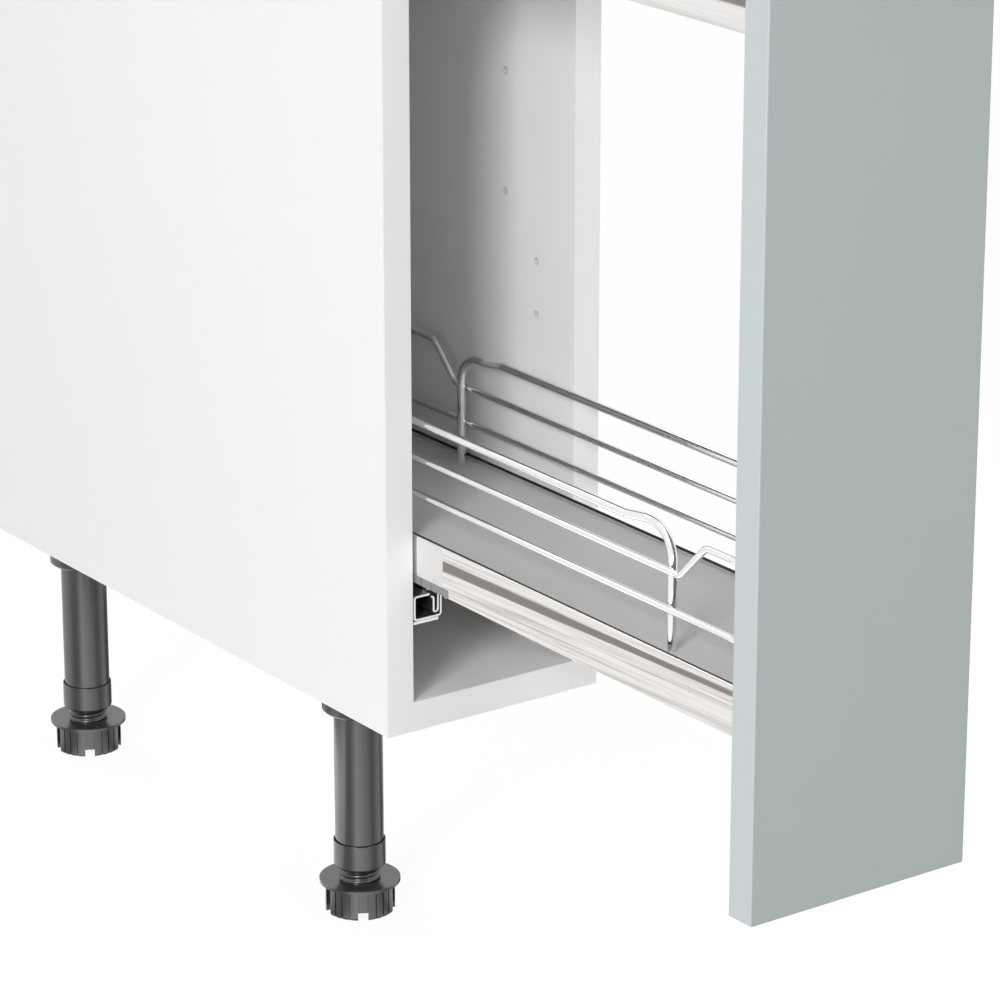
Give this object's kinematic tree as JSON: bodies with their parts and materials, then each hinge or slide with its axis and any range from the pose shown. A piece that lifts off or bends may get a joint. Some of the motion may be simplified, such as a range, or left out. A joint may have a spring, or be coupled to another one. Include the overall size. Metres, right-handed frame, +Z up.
{
  "type": "pull-out base cabinet",
  "caption": "Narrow kitchen base cabinet whose tall door draws out chrome-sided trays with wire galleries on telescopic runners; it stands on screw feet.",
  "frame": {"origin": "on the floor, in the middle of the outline with the door drawn out as in the picture", "axes": "+X to the right seen from the door, +Y from the door to the wall, +Z up"},
  "size_m": [0.15, 0.9242, 0.8975],
  "materials": {
    "white_board": "white melamine facing, fine matt texture",
    "white_back": "white lacquered fibreboard",
    "beech": "fluted beech",
    "door_finish": "matt sage blue-green facing",
    "grey_board": "light grey satin laminate",
    "chrome": "bright chrome plate",
    "zinc_steel": "bright zinc plate",
    "leg_plastic": "dark grey moulded plastic with a low sheen",
    "grey_plastic": "mid grey moulded plastic",
    "bumper_rubber": "soft translucent bumper",
    "handle_steel": "fine brushed steel"
  },
  "bodies": {
    "carcass": {"side_panel_left": "white_board", "side_panel_right": "white_board", "bottom_panel": "white_board", "back_panel": "white_back", "top_rail_front": "white_board", "top_rail_rear": "white_board", "wood_dowels": "beech", "cam_bolts": "zinc_steel", "cam_discs": "zinc_steel", "leg_socket_front": "leg_plastic", "leg_socket_rear": "leg_plastic", "leg_socket_screws": "zinc_steel", "leg_tube_front": "leg_plastic", "leg_tube_rear": "leg_plastic", "leg_collar_front": "leg_plastic", "leg_collar_rear": "leg_plastic", "fixed_profile_lower_left": "zinc_steel", "fixed_profile_lower_right": "zinc_steel", "fixed_profile_upper_left": "zinc_steel", "fixed_profile_upper_right": "zinc_steel", "runner_brackets": "zinc_steel", "runner_screws": "zinc_steel"},
    "front_foot": {"foot_front": "leg_plastic"},
    "rear_foot": {"foot_rear": "leg_plastic"},
    "middle_lower_left": {"middle_profile_lower_left": "zinc_steel"},
    "middle_lower_right": {"middle_profile_lower_right": "zinc_steel"},
    "middle_upper_left": {"middle_profile_upper_left": "zinc_steel"},
    "middle_upper_right": {"middle_profile_upper_right": "zinc_steel"},
    "outer_cage_set": {"outer_cages": "grey_plastic", "outer_rollers": "zinc_steel"},
    "inner_cage_set": {"inner_cages": "grey_plastic", "inner_rollers": "zinc_steel"},
    "pull_out": {"tray_profile_lower_left": "zinc_steel", "tray_profile_lower_right": "zinc_steel", "tray_profile_upper_left": "zinc_steel", "tray_profile_upper_right": "zinc_steel", "tray_profile_screws": "zinc_steel", "tray_catches": "grey_plastic", "tray_frame_lower": "chrome", "tray_frame_upper": "chrome", "tray_board_lower": "grey_board", "tray_board_upper": "grey_board", "top_rod_lower_left": "chrome", "top_rod_lower_right": "chrome", "top_rod_upper_left": "chrome", "top_rod_upper_right": "chrome", "middle_wire_lower": "chrome", "middle_wire_upper": "chrome", "low_wire_lower": "chrome", "low_wire_upper": "chrome", "door": "door_finish", "door_bracket_lower": "zinc_steel", "door_bracket_upper": "zinc_steel", "door_bracket_screws": "zinc_steel", "door_bumpers": "bumper_rubber", "bar_handle": "handle_steel", "handle_screws": "zinc_steel"}
  },
  "joints": [
    {"name": "extend_lower_left", "type": "slide", "parent": "carcass", "child": "middle_lower_left", "axis": [0, -1, 0], "range_m": [0, 0.147]},
    {"name": "extend_lower_right", "type": "slide", "parent": "carcass", "child": "middle_lower_right", "axis": [0, -1, 0], "range_m": [0, 0.147]},
    {"name": "extend_upper_left", "type": "slide", "parent": "carcass", "child": "middle_upper_left", "axis": [0, -1, 0], "range_m": [0, 0.147]},
    {"name": "extend_upper_right", "type": "slide", "parent": "carcass", "child": "middle_upper_right", "axis": [0, -1, 0], "range_m": [0, 0.147]},
    {"name": "outer_cages_roll", "type": "slide", "parent": "carcass", "child": "outer_cage_set", "axis": [0, -1, 0], "range_m": [0, 0.0735]},
    {"name": "pull_out_slide", "type": "slide", "parent": "middle_lower_left", "child": "pull_out", "axis": [0, -1, 0], "range_m": [-0.309, 0]},
    {"name": "inner_cages_roll", "type": "slide", "parent": "middle_lower_left", "child": "inner_cage_set", "axis": [0, -1, 0], "range_m": [-0.1545, 0]},
    {"name": "front_foot_screw", "type": "slide", "parent": "carcass", "child": "front_foot", "axis": [0, 0, -1], "range_m": [-0.007, 0.015]},
    {"name": "rear_foot_screw", "type": "slide", "parent": "carcass", "child": "rear_foot", "axis": [0, 0, -1], "range_m": [-0.007, 0.015]}
  ],
  "couplings": [
    {"joint": "extend_lower_right", "follows": "extend_lower_left", "ratio": 1},
    {"joint": "extend_upper_left", "follows": "extend_lower_left", "ratio": 1},
    {"joint": "extend_upper_right", "follows": "extend_lower_left", "ratio": 1},
    {"joint": "outer_cages_roll", "follows": "extend_lower_left", "ratio": 0.5},
    {"joint": "inner_cages_roll", "follows": "pull_out_slide", "ratio": 0.5}
  ]
}
